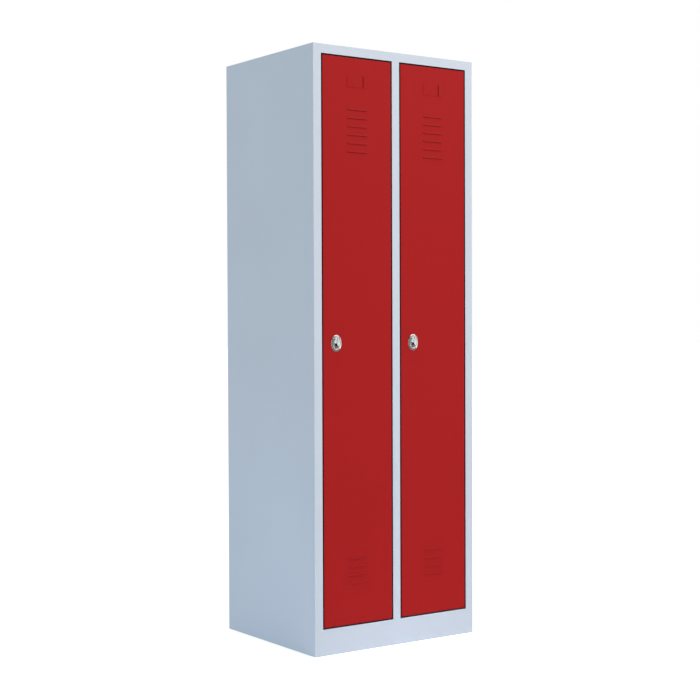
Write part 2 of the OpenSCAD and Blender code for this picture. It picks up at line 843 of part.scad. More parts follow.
side_panel(true);  // left_side_panel
mirror([1, 0, 0]) side_panel(false);  // right_side_panel
roof_panel();
back_panel();
floor_panel();
stile_plates();
plinth_panel();
centre_post();
partition();
hat_shelf(bays[0]);  // left_hat_shelf
hat_shelf(bays[1]);  // right_hat_shelf
shelf_clips(bays[0]);  // left_shelf_clips
shelf_clips(bays[1]);  // right_shelf_clips
coat_rail(bays[0]);  // left_coat_rail
coat_rail(bays[1]);  // right_coat_rail
rail_brackets(bays[0]);  // left_rail_brackets
rail_brackets(bays[1]);  // right_rail_brackets
rail_screws();
rail_nuts();
back_rivets();
hinge_lugs(left_x);  // left_hinge_lugs
hinge_lugs(right_x);  // right_hinge_lugs
buffers(left_x);  // left_buffers
buffers(right_x);  // right_buffers
door_panel(left_x);  // left_door_panel
door_panel(right_x);  // right_door_panel
door_stiffener(left_x);  // left_door_stiffener
door_stiffener(right_x);  // right_door_stiffener
hinge_ears(left_x);  // left_hinge_ears
hinge_ears(right_x);  // right_hinge_ears
hinge_pins(left_x);  // left_hinge_pins
hinge_pins(right_x);  // right_hinge_pins
lock_rosette(left_x);  // left_lock_rosette
lock_rosette(right_x);  // right_lock_rosette
lock_nut(left_x);  // left_lock_nut
lock_nut(right_x);  // right_lock_nut
towel_rail(left_x);  // left_towel_rail
towel_rail(right_x);  // right_towel_rail
towel_brackets(left_x);  // left_towel_brackets
towel_brackets(right_x);  // right_towel_brackets
lock_handle(left_x);  // left_lock_handle
lock_handle(right_x);  // right_lock_handle
spindle_clip(left_x);  // left_spindle_clip
spindle_clip(right_x);  // right_spindle_clip
lock_cam(left_x);  // left_lock_cam
lock_cam(right_x);  // right_lock_cam
cam_washer(left_x);  // left_cam_washer
cam_washer(right_x);  // right_cam_washer
cam_screw(left_x);  // left_cam_screw
cam_screw(right_x);  // right_cam_screw
hook(bays[0], 1);  // left_hook_1
hook(bays[0], 2);  // left_hook_2
hook(bays[0], 3);  // left_hook_3
hook(bays[1], 1);  // right_hook_1
hook(bays[1], 2);  // right_hook_2
hook(bays[1], 3);  // right_hook_3
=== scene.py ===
"""Finishes, lock furniture and small details of a two-door steel locker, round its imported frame.

Lengths are in metres, and in millimetres where ring() and turn() draw the small pieces. +Z is up and
the doors face -Y.
"""

import json
import math

import bmesh
import bpy
from mathutils import Matrix, Vector


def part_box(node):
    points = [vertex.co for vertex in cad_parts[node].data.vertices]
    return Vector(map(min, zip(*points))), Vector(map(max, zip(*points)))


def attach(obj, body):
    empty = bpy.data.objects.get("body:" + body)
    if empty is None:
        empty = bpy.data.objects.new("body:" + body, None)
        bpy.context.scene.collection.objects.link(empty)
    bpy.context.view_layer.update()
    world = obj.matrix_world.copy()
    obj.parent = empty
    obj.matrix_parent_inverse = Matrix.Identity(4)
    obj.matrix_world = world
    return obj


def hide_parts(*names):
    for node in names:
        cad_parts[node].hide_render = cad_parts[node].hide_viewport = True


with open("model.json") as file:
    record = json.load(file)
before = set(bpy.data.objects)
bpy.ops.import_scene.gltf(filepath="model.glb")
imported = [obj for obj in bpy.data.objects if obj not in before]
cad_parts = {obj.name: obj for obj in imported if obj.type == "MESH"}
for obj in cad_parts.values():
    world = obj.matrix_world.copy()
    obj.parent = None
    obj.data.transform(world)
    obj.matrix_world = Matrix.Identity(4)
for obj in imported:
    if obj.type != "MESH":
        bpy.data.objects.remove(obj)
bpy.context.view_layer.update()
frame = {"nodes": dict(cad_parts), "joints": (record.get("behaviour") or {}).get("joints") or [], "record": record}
NODES = frame["nodes"]
LOCKS = [joint for joint in frame["joints"] if joint["name"].endswith("_lock_turn")]
MM = 0.001
X, Y, Z = Vector((1, 0, 0)), Vector((0, 1, 0)), Vector((0, 0, 1))

# Each plane's two axes, and the axis across it
PLANES = {"XY": (X, Y, Z), "XZ": (X, Z, Y), "YZ": (Y, Z, X)}

# The front plane of frame and doors, which the locks' places lie on, and the centre post's width in it
FRONT_Y = LOCKS[0]["pos_m"][1]
POST_WIDTH = 29 * MM

# Heights: the label holders are above the first, the lower louvres below the second, and the paint
# has no painted gap shade below the third
LABELS_FROM = 1.65
LOW_LOUVRES_TO = 0.6
GAP_SHADE_FROM = 40 * MM

# Depths behind the front plane: where painted gap shade begins and ends, and where doors' outer faces end
GAP_SHADE_DEPTH_FROM = 0.1 * MM
GAP_SHADE_DEPTH_TO = 12 * MM
OUTER_FACE_TO = 0.6 * MM

# Pressings stand this far out before they count in full, and their normals are drawn this far
# towards the front: pressings in general, label holders, lower louvres
PROUD_BY = 0.4 * MM
PRESSING_CALM = 0.5
LABEL_CALM = 0.9
LOW_LOUVRE_CALM = 0.72

# Camera, fitted to the corners of the cabinet and its doors in the photograph
CAMERA_AT = (-2.6657, -3.8056, 0.9946)
CAMERA_HEADING = math.radians(35.006)
CAMERA_PITCH = math.radians(-1.220)
CAMERA_ROLL = math.radians(-0.197)
CAMERA_LENS = 75.2

# Colours as written in the photograph, turned into linear light where they are used
DOOR_RED = (167, 28, 27)
CARCASS_GREY = (202, 205, 211)

# Painted shade: each paint's near-black colour in the gaps, slits and louvre folds, as linear light
RED_GAP_SHADE = (0.016, 0.002, 0.005, 1)
GREY_GAP_SHADE = (0.022, 0.004, 0.008, 1)

# The light of the cards that the chrome reflects
BRIGHT = (1.6, 1.5, 1.54, 1)
SHADE = (0.3, 0.26, 0.27, 1)
DIM = (0.2, 0.17, 0.18, 1)
BLACK = (0.012, 0.01, 0.01, 1)

# The upright cards: how far away they stand, and where they begin and end
CARD_REACH = 3.4
CARD_LOW = 0.01
CARD_HIGH = 6.0


def linear(rgb):
    """The linear colour, with alpha, of an sRGB colour given from 0 to 255."""
    out = []
    for value in rgb:
        share = value / 255
        out.append(share / 12.92 if share <= 0.04045 else ((share + 0.055) / 1.055) ** 2.4)
    return (*out, 1.0)


def scaled(colour, factor):
    """A linear colour made brighter or darker."""
    return (*(min(1.0, c * factor) for c in colour[:3]), 1.0)


# Materials

def new_material(name):
    """An empty Principled material: (material, its nodes, its links, the shader)."""
    material = bpy.data.materials.new(name)
    material.use_nodes = True
    nodes = material.node_tree.nodes
    return material, nodes, material.node_tree.links, nodes["Principled BSDF"]


def object_coords(nodes):
    """Coordinates that stay on a piece when its body moves."""
    return nodes.new("ShaderNodeTexCoord").outputs["Object"]


def noise(nodes, links, coords, scale, detail=2.0, roughness=0.5):
    """Noise of about 1 / scale metres, as its factor output."""
    texture = nodes.new("ShaderNodeTexNoise")
    texture.inputs["Scale"].default_value = scale
    texture.inputs["Detail"].default_value = detail
    texture.inputs["Roughness"].default_value = roughness
    links.new(coords, texture.inputs["Vector"])
    return texture.outputs["Fac"]


def remap(nodes, links, value, low, high, start=0.3, stop=0.7):
    """Value's range from start to stop, spread over low to high."""
    node = nodes.new("ShaderNodeMapRange")
    node.inputs["From Min"].default_value = start
    node.inputs["From Max"].default_value = stop
    node.inputs["To Min"].default_value = low
    node.inputs["To Max"].default_value = high
    links.new(value, node.inputs["Value"])
    return node.outputs["Result"]


def blend_colours(nodes, links, factor, first, second):
    """A colour between two, by factor. Each colour is a value or an output."""
    node = nodes.new("ShaderNodeMix")
    node.data_type = "RGBA"
    for name, colour in (("A", first), ("B", second)):
        if isinstance(colour, bpy.types.NodeSocket):
            links.new(colour, node.inputs[name])
        else:
            node.inputs[name].default_value = colour
    links.new(factor, node.inputs["Factor"])
    return node.outputs["Result"]


def bump(nodes, links, height, distance, under=None):
    """Relief of the given depth in metres, laid over the normal under it."""
    node = nodes.new("ShaderNodeBump")
    node.inputs["Strength"].default_value = 1.0
    node.inputs["Distance"].default_value = distance
    links.new(height, node.inputs["Height"])
    if under is not None:
        links.new(under, node.inputs["Normal"])
    return node.outputs["Normal"]


def maths(nodes, links, operation, *values):
    """The result of a maths node on values or outputs."""
    node = nodes.new("ShaderNodeMath")
    node.operation = operation
    for slot, value in zip(node.inputs, values):
        if isinstance(value, bpy.types.NodeSocket):
            links.new(value, slot)
        else:
            slot.default_value = value
    return node.outputs["Value"]


def part_of(nodes, links, vector, name):
    """One coordinate of a vector output."""
    node = nodes.new("ShaderNodeSeparateXYZ")
    links.new(vector, node.inputs["Vector"])
    return node.outputs[name]


def product(nodes, links, first, *others):
    """The product of values or outputs."""
    for other in others:
        first = maths(nodes, links, "MULTIPLY", first, other)
    return first


def painted_gap_shade(nodes, links):
    """How far painted shade darkens the paint: 0 on open faces, and up to 1 in the narrow gaps round the
    doors, on bends and walls at the front, where the ambient occlusion finds them shut in. Two places on
    the doors' outer faces get painted shade in part: the slits at the label holders, and the folds of the lower
    louvres."""
    cover = nodes.new("ShaderNodeAmbientOcclusion")
    cover.samples = 8
    cover.inputs["Distance"].default_value = 8 * MM
    openness = cover.outputs["AO"]
    place = nodes.new("ShaderNodeTexCoord")
    facing = maths(nodes, links, "ABSOLUTE", part_of(nodes, links, place.outputs["Normal"], "Y"))
    depth = part_of(nodes, links, place.outputs["Object"], "Y")
    height = part_of(nodes, links, place.outputs["Object"], "Z")

    # painted shade in the gaps: bent faces just behind the front, darker the more they are shut in
    hidden = remap(nodes, links, openness, 1.0, 0.0, 0.82, 1.0)
    bent = remap(nodes, links, facing, 1.0, 0.0, 0.95, 0.999)
    behind = maths(nodes, links, "GREATER_THAN", depth, FRONT_Y + GAP_SHADE_DEPTH_FROM)
    near = maths(nodes, links, "LESS_THAN", depth, FRONT_Y + GAP_SHADE_DEPTH_TO)
    raised = maths(nodes, links, "GREATER_THAN", height, GAP_SHADE_FROM)
    gap_shade = product(nodes, links, hidden, bent, behind, near, raised)

    # painted shade, in part, in the label holders' slits and round the folds of the lower louvres
    outside = maths(nodes, links, "LESS_THAN", depth, FRONT_Y + OUTER_FACE_TO)
    upper = maths(nodes, links, "GREATER_THAN", height, LABELS_FROM)
    lower = maths(nodes, links, "LESS_THAN", height, LOW_LOUVRES_TO)
    slit_shade = product(nodes, links, remap(nodes, links, openness, 0.75, 0.0, 0.35, 0.70), upper, outside)
    fold_shade = product(nodes, links, remap(nodes, links, openness, 0.22, 0.0, 0.40, 0.58), lower, outside)
    return maths(nodes, links, "MAXIMUM", gap_shade, maths(nodes, links, "MAXIMUM", slit_shade, fold_shade))


def calm_normal(nodes, links):
    """The normal, drawn towards the front on whatever stands out of the front plane, as the paint and
    the soft radii of real pressings do. Label holders and lower louvres are drawn further."""
    place = nodes.new("ShaderNodeTexCoord")
    depth = part_of(nodes, links, place.outputs["Object"], "Y")
    height = part_of(nodes, links, place.outputs["Object"], "Z")
    proud = remap(nodes, links, depth, 1.0, 0.0, FRONT_Y - PROUD_BY, FRONT_Y)
    upper = maths(nodes, links, "GREATER_THAN", height, LABELS_FROM)
    lower = maths(nodes, links, "LESS_THAN", height, LOW_LOUVRES_TO)
    label = product(nodes, links, upper, LABEL_CALM - PRESSING_CALM)
    low = product(nodes, links, lower, LOW_LOUVRE_CALM - PRESSING_CALM)
    calm = maths(nodes, links, "ADD", PRESSING_CALM, maths(nodes, links, "ADD", label, low))
    flatter = nodes.new("ShaderNodeMix")
    flatter.data_type = "VECTOR"
    links.new(product(nodes, links, proud, calm), flatter.inputs["Factor"])
    links.new(place.outputs["Normal"], flatter.inputs["A"])
    flatter.inputs["B"].default_value = (0, -1, 0)
    turned = nodes.new("ShaderNodeVectorTransform")
    turned.vector_type = "NORMAL"
    turned.convert_from = "OBJECT"
    turned.convert_to = "WORLD"
    links.new(flatter.outputs["Result"], turned.inputs["Vector"])
    return turned.outputs["Vector"]


def powder_coat(name, colour, specular, gap_shade_colour, calm=False):
    """Satin powder paint on thin sheet: orange peel over the slow waves of the sheet, with painted shade in gaps.
    """
    material, nodes, links, shader = new_material(name)
    coords = object_coords(nodes)
    shade = noise(nodes, links, coords, 3.0, detail=3.0)
    factor = remap(nodes, links, shade, 0.0, 1.0)
    tint = blend_colours(nodes, links, factor, scaled(colour, 0.985), scaled(colour, 1.015))
    # painted shade: the paint is blended towards its near-black colour in gaps, slits and louvre folds
    gap_shade = painted_gap_shade(nodes, links)
    links.new(blend_colours(nodes, links, gap_shade, tint, gap_shade_colour), shader.inputs["Base Color"])
    gloss = remap(nodes, links, noise(nodes, links, coords, 45.0, detail=4.0), 0.36, 0.44)
    links.new(gloss, shader.inputs["Roughness"])
    shader.inputs["Specular IOR Level"].default_value = specular
    base = calm_normal(nodes, links) if calm else None
    waves = bump(nodes, links, noise(nodes, links, coords, 5.0, detail=1.0), 0.0012, base)
    peel = bump(nodes, links, noise(nodes, links, coords, 650.0, detail=1.5), 0.00004, waves)
    links.new(peel, shader.inputs["Normal"])
    return material


def polished_chrome(name):
    """Bright chrome plate on a casting, with faint haze."""
    material, nodes, links, shader = new_material(name)
    coords = object_coords(nodes)
    shader.inputs["Metallic"].default_value = 1.0
    haze = remap(nodes, links, noise(nodes, links, coords, 220.0, detail=3.0), 0.07, 0.14)
    links.new(haze, shader.inputs["Roughness"])
    cloud = remap(nodes, links, noise(nodes, links, coords, 90.0), 0.0, 1.0)
    tint = blend_colours(nodes, links, cloud, (0.61, 0.65, 0.63, 1), (0.67, 0.71, 0.69, 1))
    links.new(tint, shader.inputs["Base Color"])
    ripple = bump(nodes, links, noise(nodes, links, coords, 160.0, detail=1.0), 0.00006)
    links.new(ripple, shader.inputs["Normal"])
    return material


def zinc_plate(name):
    """Bright zinc plate: a bluish metal with a fine crystal grain."""
    material, nodes, links, shader = new_material(name)
    coords = object_coords(nodes)
    shader.inputs["Metallic"].default_value = 1.0
    grain = nodes.new("ShaderNodeTexVoronoi")
    grain.inputs["Scale"].default_value = 420.0
    links.new(coords, grain.inputs["Vector"])
    share = remap(nodes, links, grain.outputs["Distance"], 0.0, 1.0, 0.0, 0.6)
    tint = blend_colours(nodes, links, share, (0.52, 0.55, 0.58, 1), (0.66, 0.68, 0.70, 1))
    links.new(tint, shader.inputs["Base Color"])
    links.new(remap(nodes, links, share, 0.28, 0.42, 0.0, 1.0), shader.inputs["Roughness"])
    links.new(bump(nodes, links, noise(nodes, links, coords, 900.0), 0.00002), shader.inputs["Normal"])
    return material


def moulded_rubber(name):
    """Matt black rubber with a dusty bloom."""
    material, nodes, links, shader = new_material(name)
    coords = object_coords(nodes)
    bloom = remap(nodes, links, noise(nodes, links, coords, 300.0, detail=4.0), 0.0, 1.0)
    tint = blend_colours(nodes, links, bloom, (0.012, 0.012, 0.012, 1), (0.030, 0.030, 0.031, 1))
    links.new(tint, shader.inputs["Base Color"])
    shader.inputs["Roughness"].default_value = 0.75
    shader.inputs["Specular IOR Level"].default_value = 0.3
    links.new(bump(nodes, links, noise(nodes, links, coords, 1500.0), 0.00003), shader.inputs["Normal"])
    return material


MATERIALS = {
    "grey_paint": powder_coat("grey_powder_coat", linear(CARCASS_GREY), 0.25, GREY_GAP_SHADE),
    "red_paint": powder_coat("red_powder_coat", linear(DOOR_RED), 0.06, RED_GAP_SHADE, calm=True),
    "chrome": polished_chrome("polished_chrome"),
    "zinc": zinc_plate("zinc_plate"),
    "rubber": moulded_rubber("black_rubber"),
}


def paint_nodes():
    """Gives every CAD node the material of its slot in the record."""
    for row in frame["record"]["subparts"]:
        node = NODES[row["node"]]
        node.data.materials.clear()
        node.data.materials.append(MATERIALS[row["material_slot"]])


paint_nodes()


# Pieces. The CAD nodes that they stand for give their places.

def ring(origin, plane, pairs, along):
    """A ring of points: pairs across the plane's two axes, and a way along its third, all in mm."""
    u, v, w = PLANES[plane]
    return [origin + (u * a + v * b + w * along) * MM for a, b in pairs]


def circle(radius, count):
    """Pairs on a circle. The radius may be a function of the angle."""
    pairs = []
    for i in range(count):
        angle = math.tau * i / count
        r = radius(angle) if callable(radius) else radius
        pairs.append((r * math.cos(angle), r * math.sin(angle)))
    return pairs


def hexagon(flats, limit):
    """The radius of a hexagon of that width across its flats, turned down to a limit."""
    def radius(angle):
        off = math.radians(30) - angle % math.radians(60)
        return min(flats / 2 / math.cos(off), limit)
    return radius


def cross(length, width):
    """The radius of a cross recess."""
    def radius(angle):
        off = abs((angle + math.radians(45)) % math.radians(90) - math.radians(45))
        return min(length, width / 2 / max(math.sin(off), 0.01))
    return radius


def loft(bm, rings, wrap=False):
    """Faces between rings of equally many points. A ring of one point closes an end."""
    rows = [[bm.verts.new(point) for point in points] for points in rings]
    pairs = list(zip(rows, rows[1:]))
    if wrap:
        pairs.append((rows[-1], rows[0]))
    for low, high in pairs:
        count = max(len(low), len(high))
        for i in range(count):
            j = (i + 1) % count
            corners = (low[i % len(low)], low[j % len(low)], high[j % len(high)], high[i % len(high)])
            bm.faces.new(list(dict.fromkeys(corners)))


def turn(bm, origin, plane, profile, count=40):
    """A turned solid of (radius, way along the axis) steps. It closes on itself where it is hollow."""
    loft(bm, [ring(origin, plane, [(0, 0)] if radius == 0 else circle(radius, count), along)
              for radius, along in profile], wrap=profile[0][0] != 0)


def piece(name, bm, slot, body, nodes=(), angle=38):
    """Makes the finished object of a mesh, riding on a body, in place of CAD nodes."""
    bmesh.ops.recalc_face_normals(bm, faces=bm.faces)
    mesh = bpy.data.meshes.new(name)
    bm.to_mesh(mesh)
    bm.free()
    mesh.polygons.foreach_set("use_smooth", [True] * len(mesh.polygons))
    mesh.set_sharp_from_angle(angle=math.radians(angle))
    mesh.materials.append(MATERIALS[slot])
    made = bpy.data.objects.new(name, mesh)
    bpy.context.scene.collection.objects.link(made)
    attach(made, body)
    if nodes:
        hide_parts(*nodes)


def solids_of(node):
    """The boxes, (low, high), of a CAD node's separate solids, in the order of their vertices."""
    mesh = NODES[node].data
    spot = {}
    index = [spot.setdefault(tuple(round(c * 1e5) for c in v.co), len(spot)) for v in mesh.vertices]
    root = list(range(len(spot)))

    def find(i):
        while root[i] != i:
            root[i] = root[root[i]]
            i = root[i]
        return i

    for face in mesh.polygons:
        first = find(index[face.vertices[0]])
        for vertex in face.vertices:
            root[find(index[vertex])] = first
    groups = {}
    for vertex, i in zip(mesh.vertices, index):
        groups.setdefault(find(i), []).append(vertex.co)
    return [(Vector(map(min, zip(*points))), Vector(map(max, zip(*points))))
            for points in groups.values()]


# Locks

def oval(half_width, half_height, count, middle):
    """Pairs on an oval, a little fuller than an ellipse."""
    pairs = []
    for i in range(count):
        angle = math.tau * i / count
        across, up = math.cos(angle), math.sin(angle)
        swell = (abs(across) ** 2.2 + abs(up) ** 2.2) ** (-1 / 2.2)
        pairs.append((middle[0] + half_width * across * swell, middle[1] + half_height * up * swell))
    return pairs


def rosette(side, axis):
    """Chromed backplate, a low oval dome with a rolled edge, its threaded boss, and its padlock eye."""
    bm = bmesh.new()
    count = 72
    crest, root, pitch = 7.95, 7.3, 1.2

    def bore(radius, depth):
        return ring(axis, "XZ", circle(radius, count), depth)

    def plate(inset, depth):
        return ring(axis, "XZ", oval(18.2 - inset, 24.6 - inset, count, (0, -3)), depth)

    rings = [bore(5.05, -2.1), bore(5.05, 13.6), bore(5.5, 14), bore(root, 14)]
    depth = 13.6
    while depth > 1.4:
        rings += [bore(crest, depth), bore(crest, depth - 0.25),
                  bore(root, depth - 0.6), bore(root, depth - 0.8)]
        depth -= pitch
    rings += [bore(crest, 0.9), bore(crest, 0)]
    edge = [(0.2, 0), (0, -0.1), (0, -0.25), (0.1, -0.42), (0.35, -0.58), (0.8, -0.76), (1.6, -1.06),
            (2.8, -1.52), (4.0, -1.97), (4.7, -2.22), (5.2, -2.36), (5.8, -2.46), (6.6, -2.5)]
    rings += [plate(inset, depth) for inset, depth in edge]
    rings += [bore(8.9, -2.47), bore(8.3, -2.5), bore(5.6, -2.5), bore(5.15, -2.3)]
    loft(bm, rings, wrap=True)

    # the eye: a lug, round at one end and square at the plate, with a hole for the shackle
    eye = axis + Vector((-13.395, -6.8, 11.095)) * MM
    half_width, root_at = 3.8, 5.2

    def lug(angle):
        if math.sin(angle) <= 0:
            return half_width
        return min(half_width / max(abs(math.cos(angle)), 0.01), root_at / math.sin(angle))

    outer, rim = circle(lug, 64), circle(1, 64)

    def level(pairs, factor, along):
        return ring(eye, "XY", [(x * factor, y * factor) for x, y in pairs], along)

    loft(bm, [level(outer, 1, -1.0), level(outer, 0.96, -1.36), level(outer, 0.87, -1.5),
              level(rim, 2.95, -1.5), level(rim, 2.55, -1.35), level(rim, 2.4, -1.0),
              level(rim, 2.4, 1.0), level(rim, 2.55, 1.35), level(rim, 2.95, 1.5),
              level(outer, 0.87, 1.5), level(outer, 0.96, 1.36), level(outer, 1, 1.0)], wrap=True)
    piece(f"{side}_rosette_plate", bm, "chrome", f"{side}_door", [f"{side}_lock_rosette"])


def rounded(corners, radius, steps):
    """A convex outline with its corners rounded off."""
    pairs = []
    for i, corner in enumerate(corners):
        here = Vector(corner)
        back = (Vector(corners[i - 1]) - here).normalized()
        on = (Vector(corners[(i + 1) % len(corners)]) - here).normalized()
        half = back.angle(on) / 2
        middle = here + (back + on).normalized() * (radius / math.sin(half))
        start = here + back * (radius / math.tan(half)) - middle
        stop = here + on * (radius / math.tan(half)) - middle
        swing = start.angle_signed(stop)
        for k in range(steps + 1):
            share = -swing * k / steps
            x = start.x * math.cos(share) - start.y * math.sin(share)
            y = start.x * math.sin(share) + start.y * math.cos(share)
            pairs.append((middle.x + x, middle.y + y))
    return pairs


def helper(name, bm):
    """A passing object of a mesh, to cut or to cut with."""
    bmesh.ops.recalc_face_normals(bm, faces=bm.faces)
    made = bpy.data.objects.new(name, bpy.data.meshes.new(name))
    bm.to_mesh(made.data)
    bm.free()
    bpy.context.scene.collection.objects.link(made)
    return made


def grip(side, axis):
    """Crowned chrome grip with the hole for the shackle, on its turned spindle."""
    half_width, half_height, half_end, half_side = 11, 19, 6, 3

    def outline(cut, radius):
        w, h, e, s = half_width - cut, half_height - cut, half_end - cut, half_side
        return rounded([(w, -s), (w, s), (e, h), (-e, h), (-w, s), (-w, -s), (-e, -h), (e, -h)], radius, 7)

    def level(pairs, depth, weight):
        """Points of an outline at a depth, bowed back towards its rim by that weight of the crown."""
        across, up, back = PLANES["XZ"]
        points = []
        for x, z in pairs:
            bow = weight * (0.8 * (z / half_height) ** 2 + 0.2 * (x / half_width) ** 2)
            points.append(axis + (across * x + up * z + back * (depth + bow)) * MM)
        return points

    steps = [(0.8, -2.8, 3.0, 0), (0.2, -2.95, 3.4, 0), (0, -3.4, 3.6, 0), (0, -5.9, 3.6, 0),
             (0.2, -6.6, 3.6, 0), (0.6, -7.2, 3.5, 0.1), (1.2, -7.85, 3.4, 0.2), (2.8, -9.5, 3.1, 0.5),
             (4.2, -10.9, 2.8, 0.8), (4.8, -11.4, 2.6, 0.9), (5.5, -11.65, 2.4, 1)]
    bm = bmesh.new()
    rings = [level([(0, 0)], -2.8, 0)]
    rings += [level(outline(cut, radius), depth, weight) for cut, depth, radius, weight in steps]
    inner = outline(5.5, 2.4)
    rings += [level([(x * share, z * share) for x, z in inner], -11.65 - 0.35 * (1 - share * share), 1)
              for share in (0.8, 0.6, 0.4, 0.2)]
    rings.append(level([(0, 0)], -12, 1))
    loft(bm, rings)
    body = helper("grip_body", bm)

    bm = bmesh.new()
    turn(bm, axis + Vector((0, -6.8, -13.395)) * MM, "YZ", [(0, -14), (3, -14), (3, 14), (0, 14)], 48)
    drill = helper("drill", bm)
    cut = body.modifiers.new("eye", "BOOLEAN")
    cut.object = drill
    cut.operation = "DIFFERENCE"
    cut.solver = "EXACT"
    mouth = body.modifiers.new("mouth", "BEVEL")
    mouth.width = 0.35 * MM
    mouth.segments = 3
    mouth.limit_method = "ANGLE"
    mouth.angle_limit = math.radians(40)
    bpy.context.view_layer.update()
    drilled = bpy.data.meshes.new_from_object(body.evaluated_get(bpy.context.evaluated_depsgraph_get()))
    for made in (body, drill):
        bpy.data.objects.remove(made)

    bm = bmesh.new()
    bm.from_mesh(drilled)
    bpy.data.meshes.remove(drilled)
    square = rounded([(3.5, -3.5), (3.5, 3.5), (-3.5, 3.5), (-3.5, -3.5)], 0.7, 9)
    turn(bm, axis, "XZ", [(0, -3), (5, -3), (5, 14.2), (4.5, 14.35), (4.5, 15.45), (5, 15.6), (5, 26.7),
                          (4.6, 27), (0, 27)], 40)
    tip = [ring(axis, "XZ", square, 26.9), ring(axis, "XZ", square, 29.2),
           ring(axis, "XZ", [(x * 0.92, z * 0.92) for x, z in square], 29.5)]
    loft(bm, [ring(axis, "XZ", [(0, 0)], 26.9), *tip, ring(axis, "XZ", [(0, 0)], 29.5)])
    piece(f"{side}_grip", bm, "chrome", f"{side}_lock", [f"{side}_lock_handle"], angle=32)


def lock_nut(side, axis):
    """Chamfered hexagon nut on the boss."""
    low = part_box(f"{side}_lock_nut")[0].y
    bm = bmesh.new()
    flats = 22
    steps = [(8.6, 0), (hexagon(flats, 11.2), 0), (hexagon(flats, 12.0), 0.25),
             (hexagon(flats, 12.71), 0.7), (hexagon(flats, 12.71), 3.3), (hexagon(flats, 12.0), 3.75),
             (hexagon(flats, 11.2), 4.0), (8.6, 4.0), (7.9, 3.5), (7.9, 0.5)]
    turn(bm, Vector((axis.x, low, axis.z)), "XZ", steps, 96)
    piece(f"{side}_ring_nut", bm, "zinc", f"{side}_door", [f"{side}_lock_nut"])


def cam_screw(side, axis):
    """Hexagon screw with a washer face, holding the cam."""
    low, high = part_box(f"{side}_cam_screw")
    bm = bmesh.new()
    tip = (low.y - high.y) / MM
    flats = 7.62
    steps = [(0, tip), (2.1, tip), (2.5, tip + 0.5), (2.5, -3.5), (3.7, -3.5), (3.75, -3.2),
             (hexagon(flats, 3.8), -3.2), (hexagon(flats, 4.4), -2.9), (hexagon(flats, 4.4), -0.7),
             (hexagon(flats, 4.1), -0.35), (hexagon(flats, 3.7), -0.12), (3.0, 0), (2.2, -0.02),
             (1.9, -0.3), (0, -0.35)]
    turn(bm, Vector((axis.x, high.y, axis.z)), "XZ", steps, 96)
    piece(f"{side}_cam_bolt", bm, "zinc", f"{side}_lock", [f"{side}_cam_screw"])


for lock in LOCKS:
    lock_side = lock["name"].split("_")[0]
    for make in (rosette, grip, lock_nut, cam_screw):
        make(lock_side, Vector(lock["pos_m"]))


# Small hardware

def along_solids(name, node, slot, body, plane, profile, count=48):
    """Makes one piece of turned solids, each at the middle and the low end of one of the node's solids.
    The profile is a function of that solid's length in mm."""
    bm = bmesh.new()
    axis = PLANES[plane][2]
    for low, high in solids_of(node):
        middle = (low + high) / 2
        length = (high - low).dot(axis)
        turn(bm, middle - axis * length / 2, plane, profile(length / MM), count)
    piece(name, bm, slot, body, [node])


def rivet(length):
    """Blind rivet: rolled tail inside, low dome with its pulled core outside."""
    head = length - 1
    return [(0, 0.2), (0.9, 0.2), (1.3, 0), (2.1, 0.1), (2.8, 0.45), (3.0, 0.9), (2.8, 1.4), (2.0, 1.4),
            (2.0, head), (3.7, head), (3.8, head + 0.12), (3.55, head + 0.5), (3.0, head + 0.8),
            (2.3, head + 0.96), (1.7, head + 1), (1.35, head + 0.9), (1.2, head + 0.5), (0, head + 0.45)]


def pin(length):
    """Hinge pin with a low dome for a head."""
    return [(0, 0), (2.4, 0), (3.0, 0.6), (3.0, length - 1.5), (4.3, length - 1.5), (4.5, length - 1.3),
            (4.45, length - 0.9), (3.9, length - 0.35), (2.9, length - 0.08), (1.5, length), (0, length)]


def buffer(length):
    """Push-in rubber buffer: domed face, neck in the sheet, and the barb behind it."""
    return [(0, 0), (1.6, 0.04), (2.8, 0.3), (3.7, 0.85), (4.15, 1.6), (4.3, 2.6), (4.2, 3.5), (3.9, 3.7),
            (2.5, 3.7), (2.5, length - 1.5), (3.15, length - 1.5), (3.3, length - 1.3),
            (3.05, length - 0.8), (2.2, length - 0.2), (1.2, length), (0, length)]


def pan_screw(length):
    """Screw with a pan head on top, a cross recess, and its thread below."""
    steps = [(0, 0), (1.5, 0), (1.95, 0.45)]
    way = 0.6
    while way < length - 4.4:
        steps += [(1.65, way), (1.65, way + 0.12), (2.0, way + 0.35), (2.0, way + 0.45)]
        way += 0.7
    steps += [(2.0, length - 2), (3.45, length - 2), (3.6, length - 1.85), (3.58, length - 1.3),
              (3.3, length - 0.75), (2.9, length - 0.4), (2.5, length - 0.2), (cross(2.1, 0.95), length),
              (cross(1.8, 0.8), length - 1.2), (0, length - 1.4)]
    return steps


def hexagon_nut(length):
    """Chamfered hexagon nut for those screws."""
    flats = 6.58
    return [(2.05, 0.4), (2.5, 0), (hexagon(flats, 3.4), 0), (hexagon(flats, 3.8), 0.45),
            (hexagon(flats, 3.8), length - 0.45), (hexagon(flats, 3.4), length), (2.5, length),
            (2.05, length - 0.4)]


along_solids("rail_pan_screws", "rail_screws", "zinc", "carcass", "XY", pan_screw, 72)
along_solids("rail_hexagon_nuts", "rail_nuts", "zinc", "carcass", "XY", hexagon_nut, 48)
along_solids("back_blind_rivets", "back_rivets", "zinc", "carcass", "XZ", rivet, 32)
for side in ("left", "right"):
    along_solids(f"{side}_hinge_pin_set", f"{side}_hinge_pins", "zinc", f"{side}_door", "XY", pin, 40)
    along_solids(f"{side}_buffer_set", f"{side}_buffers", "rubber", "carcass", "XZ", buffer, 40)


# Welds, ground flush where one sheet ends at the bend of the next

